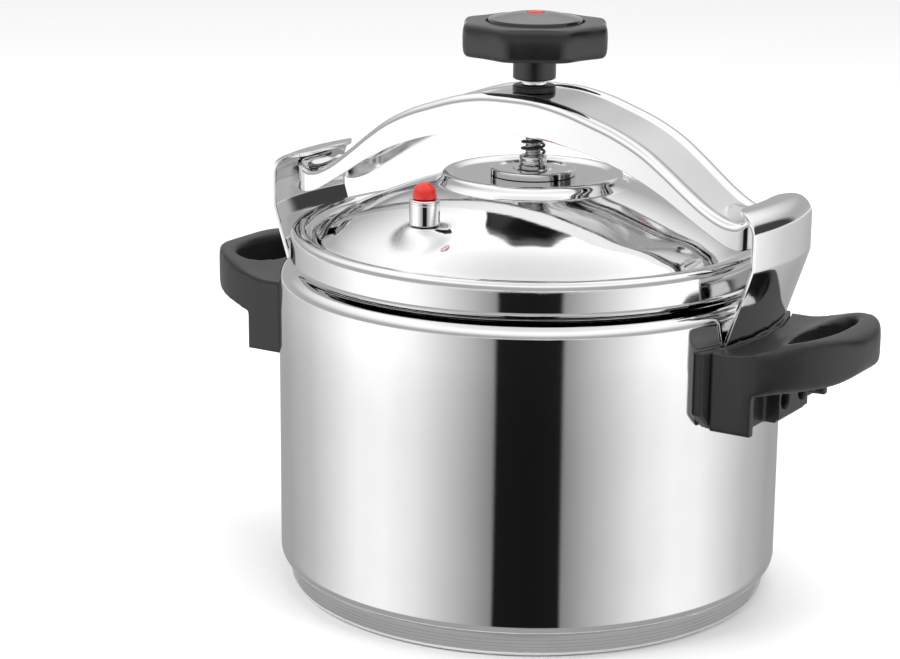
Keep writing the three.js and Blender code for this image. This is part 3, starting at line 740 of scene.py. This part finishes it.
view = {"distance": 1.237, "height": 0.458, "turn": 30.0, "pitch": 14.80, "aside": 1.93, "roll": 0.49,
        "lens": 98.3, "sensor": 36}
bounce = {"inner": 0.1262, "outerShare": 20, "height": 0.0006, "nearLevel": 0.36,
          "litFrom": (0.149, 0.158), "brighterFrom": (0.42, 0.75), "strength": (1.07, 1.30),
          "levels": [(0.0, 0.008), (7.2, 0.010), (7.7, 0.24), (12, 0.38), (19, 0.60), (26, 0.84), (34, 1.0),
                     (42, 0.98), (52, 0.72), (60, 0.54), (75, 0.38), (90, 0.36)]}
sky = {"levels": [(0.0, 0.36), (0.14, 0.33), (0.30, 0.34), (0.42, 0.50), (0.58, 0.74), (0.72, 0.86),
                  (0.86, 0.88), (1.0, 0.62)],
       "strength": 1.38, "flagWay": (0.72, 0.69, 0.04), "flagEdge": (0.90, 0.95), "flagShade": 0.12}

clearSelection()
bpy.ops.mesh.primitive_plane_add(size=14, location=(0, 0, -0.0002))
floor = bpy.context.object
floor.name = "floor"
floorMaterial, _, floorShader = newMaterial("paleFloor")
floorShader.inputs["Base Color"].default_value = (0.9, 0.9, 0.9, 1)
floorShader.inputs["Roughness"].default_value = 0.7
floor.data.materials.append(floorMaterial)


def bounceCard():  # a lit card round the foot, seen only in reflections, with one dark gap towards the front
    clearSelection()
    bpy.ops.mesh.primitive_circle_add(vertices=96, radius=bounce["inner"], fill_type="NOTHING",
                                      location=(0, 0, bounce["height"]))
    card = bpy.context.object
    bpy.ops.object.mode_set(mode="EDIT")
    bpy.ops.mesh.select_all(action="SELECT")
    bpy.ops.mesh.extrude_region_move(TRANSFORM_OT_translate={"value": (0, 0, 0)})
    bpy.ops.transform.resize(value=(bounce["outerShare"], bounce["outerShare"], 1))
    bpy.ops.object.mode_set(mode="OBJECT")
    card.name = "bounceCard"
    material = bpy.data.materials.new("bounceCardGlow")
    material.use_nodes = True
    tree = material.node_tree
    tree.nodes.clear()
    out = tree.nodes.new("ShaderNodeOutputMaterial")
    glow = tree.nodes.new("ShaderNodeEmission")
    coords = tree.nodes.new("ShaderNodeTexCoord")
    mapping = tree.nodes.new("ShaderNodeMapping")
    mapping.inputs["Rotation"].default_value = (0, 0, math.radians(90 - view["turn"]))
    split = tree.nodes.new("ShaderNodeSeparateXYZ")
    length = tree.nodes.new("ShaderNodeVectorMath")
    length.operation = "LENGTH"

    def calculate(kind, a, b=None):
        node = tree.nodes.new("ShaderNodeMath")
        node.operation = kind
        for socket, value in zip(node.inputs, (a, b)):
            if value is None:
                continue
            if isinstance(value, (int, float)):
                socket.default_value = value
            else:
                tree.links.new(value, socket)
        return node.outputs[0]

    tree.links.new(coords.outputs["Object"], mapping.inputs["Vector"])
    tree.links.new(mapping.outputs["Vector"], split.inputs["Vector"])
    tree.links.new(coords.outputs["Object"], length.inputs[0])
    around = calculate("ABSOLUTE", calculate("ARCTAN2", split.outputs["Y"], split.outputs["X"]))
    closeness = calculate("DIVIDE", pot["radius"] * mm, length.outputs["Value"])
    wallAngle = calculate("DIVIDE", around, calculate("SUBTRACT", 2.0, closeness))
    share = calculate("DIVIDE", wallAngle, math.pi / 2)
    ramp = tree.nodes.new("ShaderNodeValToRGB")
    fillRamp(ramp, [(angle / 90, level) for angle, level in bounce["levels"]])
    tree.links.new(share, ramp.inputs["Fac"])
    near = mapRange(tree, length.outputs["Value"], bounce["litFrom"], (0, 1), True)
    far = mapRange(tree, length.outputs["Value"], bounce["brighterFrom"], bounce["strength"], True)
    mix = tree.nodes.new("ShaderNodeMix")
    mix.data_type = "RGBA"
    mix.inputs["A"].default_value = (*[bounce["nearLevel"]] * 3, 1)
    tree.links.new(near, mix.inputs["Factor"])
    tree.links.new(ramp.outputs["Color"], mix.inputs["B"])
    tree.links.new(mix.outputs["Result"], glow.inputs["Color"])
    tree.links.new(far, glow.inputs["Strength"])
    tree.links.new(glow.outputs["Emission"], out.inputs["Surface"])
    card.data.materials.append(material)
    card.visible_camera = False
    card.visible_diffuse = False
    card.visible_shadow = False
    card.visible_transmission = False


bounceCard()

world = bpy.data.worlds.new("studio")
bpy.context.scene.world = world
world.use_nodes = True
skyTree = world.node_tree
background = skyTree.nodes["Background"]
skyCoords = skyTree.nodes.new("ShaderNodeTexCoord")
skySplit = skyTree.nodes.new("ShaderNodeSeparateXYZ")
skyRamp = skyTree.nodes.new("ShaderNodeValToRGB")
fillRamp(skyRamp, sky["levels"])
skyTree.links.new(skyCoords.outputs["Generated"], skySplit.inputs["Vector"])
skyTree.links.new(skySplit.outputs["Z"], skyRamp.inputs["Fac"])
flag = skyTree.nodes.new("ShaderNodeVectorMath")  # a dark flag far out at the back, right of the pot
flag.operation = "DOT_PRODUCT"
flag.inputs[1].default_value = sky["flagWay"]
skyTree.links.new(skyCoords.outputs["Generated"], flag.inputs[0])
flagEdge = mapRange(skyTree, flag.outputs["Value"], sky["flagEdge"], (1.0, sky["flagShade"]), True)
shade = skyTree.nodes.new("ShaderNodeMath")
shade.operation = "MULTIPLY"
shade.inputs[1].default_value = sky["strength"]
skyTree.links.new(flagEdge, shade.inputs[0])
skyTree.links.new(skyRamp.outputs["Color"], background.inputs["Color"])
skyTree.links.new(shade.outputs[0], background.inputs["Strength"])
plain = skyTree.nodes.new("ShaderNodeBackground")
plain.inputs["Color"].default_value = (1, 1, 1, 1)
rays = skyTree.nodes.new("ShaderNodeLightPath")
choose = skyTree.nodes.new("ShaderNodeMixShader")
skyTree.links.new(rays.outputs["Is Camera Ray"], choose.inputs["Fac"])
skyTree.links.new(background.outputs["Background"], choose.inputs[1])
skyTree.links.new(plain.outputs["Background"], choose.inputs[2])
skyTree.links.new(choose.outputs["Shader"], skyTree.nodes["World Output"].inputs["Surface"])


def softBox(name, place, aim, size, power):  # lights the surfaces and is left out of reflections
    data = bpy.data.lights.new(name, "AREA")
    data.shape = "RECTANGLE"
    data.size, data.size_y = size
    data.energy = power
    lamp = bpy.data.objects.new(name, data)
    bpy.context.scene.collection.objects.link(lamp)
    lamp.location = place
    lamp.rotation_euler = (Vector(aim) - Vector(place)).to_track_quat("-Z", "Y").to_euler()
    lamp.visible_glossy = False


softBox("keyLight", (-0.9, -1.3, 1.5), (0, 0, 0.12), (1.1, 0.9), 16)
softBox("topLight", (0.2, 0.3, 1.9), (0, 0, 0.1), (1.6, 1.2), 16)
softBox("sideLight", (1.7, -0.2, 0.9), (0.1, 0, 0.12), (0.5, 0.9), 6)

camera = bpy.data.objects.new("camera", bpy.data.cameras.new("camera"))
bpy.context.scene.collection.objects.link(camera)
camera.data.lens = view["lens"]
camera.data.sensor_width = view["sensor"]
camera.data.clip_start = 0.05
turn = math.radians(view["turn"])
place = Vector((view["distance"] * math.sin(turn), -view["distance"] * math.cos(turn), view["height"]))
camera.matrix_world = (
    Matrix.Translation(place)
    @ Matrix.Rotation(turn + math.radians(view["aside"]), 4, "Z")
    @ Matrix.Rotation(math.radians(90 - view["pitch"]), 4, "X")
    @ Matrix.Rotation(math.radians(view["roll"]), 4, "Z"))
bpy.context.scene.camera = camera
bpy.context.scene.view_settings.view_transform = "Standard"
print("studio ready")
